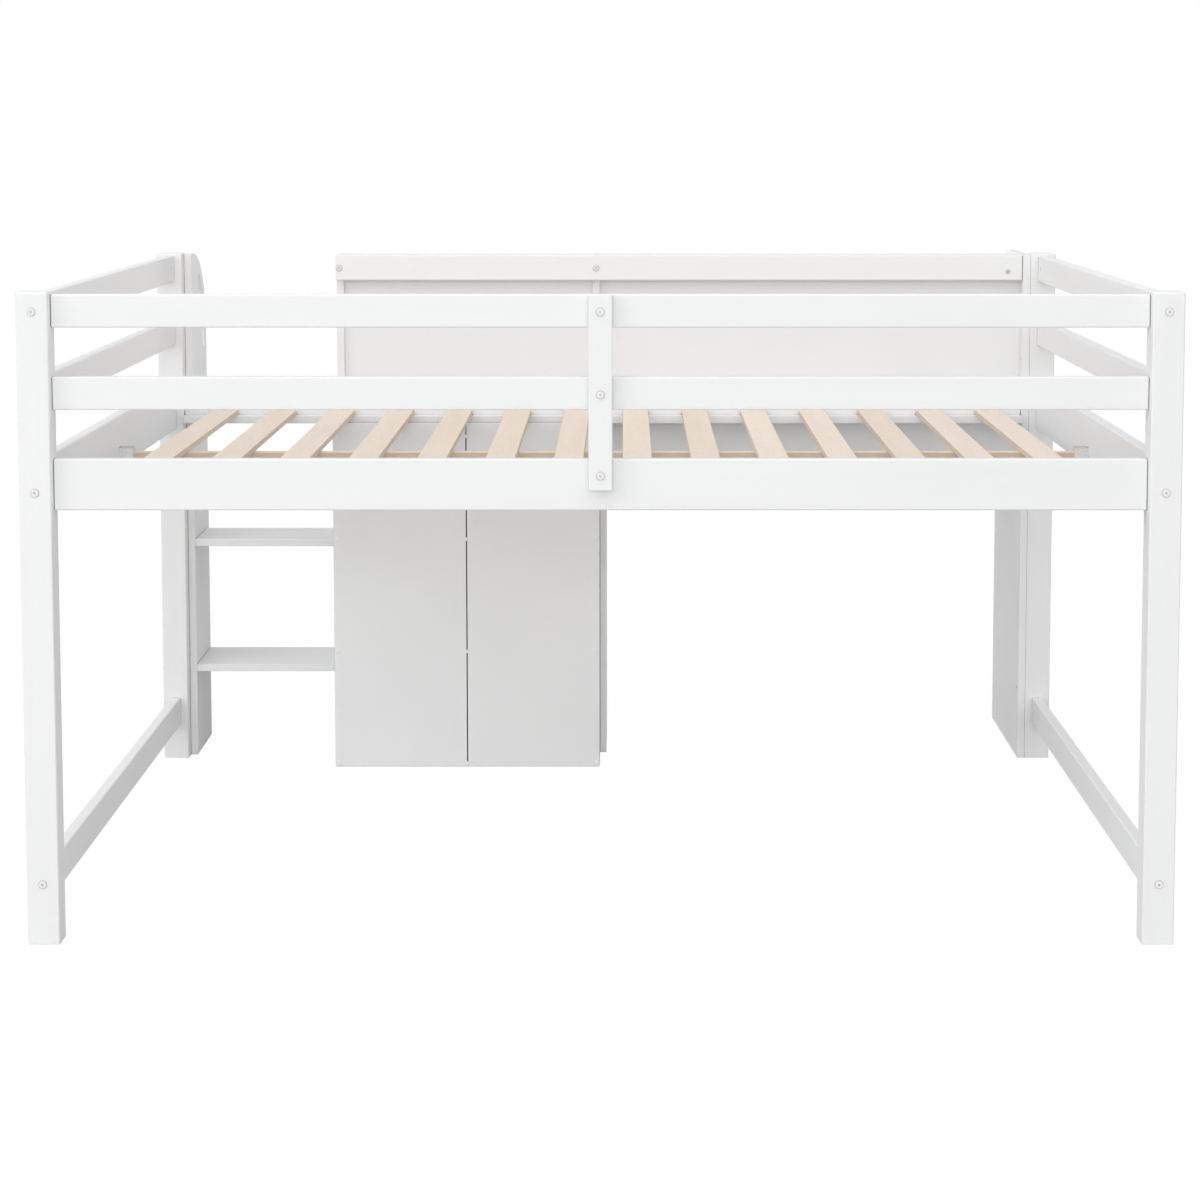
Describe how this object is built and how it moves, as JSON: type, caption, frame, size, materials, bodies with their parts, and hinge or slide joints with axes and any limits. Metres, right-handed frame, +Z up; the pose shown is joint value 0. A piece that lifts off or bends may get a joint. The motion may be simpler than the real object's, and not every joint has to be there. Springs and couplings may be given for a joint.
{
  "type": "low loft bed",
  "caption": "White low loft bed with guard rails, pale slats, ladder entry, cube storage, hutch and desk along its front.",
  "frame": {"origin": "centre of the whole part's footprint, on the floor", "axes": "+X along the bed to the desk end, +Y from the back side to the ladder and desk side, +Z up"},
  "size_m": [1.994, 1.843, 1.135],
  "materials": {
    "white_rail_wood": "satin white paint",
    "white_board": "smooth satin white paint",
    "pale_slat_wood": "bare planed softwood",
    "zinc_sheet": "zinc plated",
    "zinc_hardware": "zinc plated",
    "nickel_bolt_heads": "bright nickel plated",
    "white_caps": "white"
  },
  "bodies": {
    "root": {"back_guard_upright": "white_rail_wood", "back_left_post": "white_rail_wood", "back_mid_guard_rail": "white_rail_wood", "back_right_post": "white_rail_wood", "back_side_rail": "white_rail_wood", "back_slat_cleat": "white_rail_wood", "back_top_guard_rail": "white_rail_wood", "barrel_nuts": "zinc_hardware", "beam_hangers": "zinc_sheet", "board_fixings": "white_caps", "centre_beam": "pale_slat_wood", "cube_bottom": "white_board", "cube_left_back_panel": "white_board", "cube_left_side": "white_board", "cube_partition": "white_board", "cube_right_back_panel": "white_board", "cube_right_side": "white_board", "cube_shelves": "white_board", "cube_top": "white_board", "desk_left_panel": "white_board", "desk_top": "white_board", "frame_bolts": "nickel_bolt_heads", "front_left_post": "white_rail_wood", "front_right_post": "white_rail_wood", "front_side_rail": "white_rail_wood", "front_slat_cleat": "white_rail_wood", "front_top_guard_rail": "white_rail_wood", "hutch_divider": "white_board", "hutch_left_back_panel": "white_board", "hutch_left_shelf": "white_board", "hutch_left_side": "white_board", "hutch_right_back_panel": "white_board", "hutch_right_shelf": "white_board", "ladder_board": "white_board", "ladder_tread_lower": "white_board", "ladder_tread_upper": "white_board", "left_end_bed_rail": "white_rail_wood", "left_end_mid_guard_rail": "white_rail_wood", "left_end_stretcher": "white_rail_wood", "left_end_top_guard_rail": "white_rail_wood", "right_end_bed_rail": "white_rail_wood", "right_end_board": "white_board", "right_end_mid_guard_rail": "white_rail_wood", "right_end_stretcher": "white_rail_wood", "right_end_top_guard_rail": "white_rail_wood", "slat_01": "pale_slat_wood", "slat_02": "pale_slat_wood", "slat_03": "pale_slat_wood", "slat_04": "pale_slat_wood", "slat_05": "pale_slat_wood", "slat_06": "pale_slat_wood", "slat_07": "pale_slat_wood", "slat_08": "pale_slat_wood", "slat_09": "pale_slat_wood", "slat_10": "pale_slat_wood", "slat_11": "pale_slat_wood", "slat_12": "pale_slat_wood", "slat_13": "pale_slat_wood", "slat_14": "pale_slat_wood", "wood_screws": "zinc_hardware"}
  },
  "joints": []
}
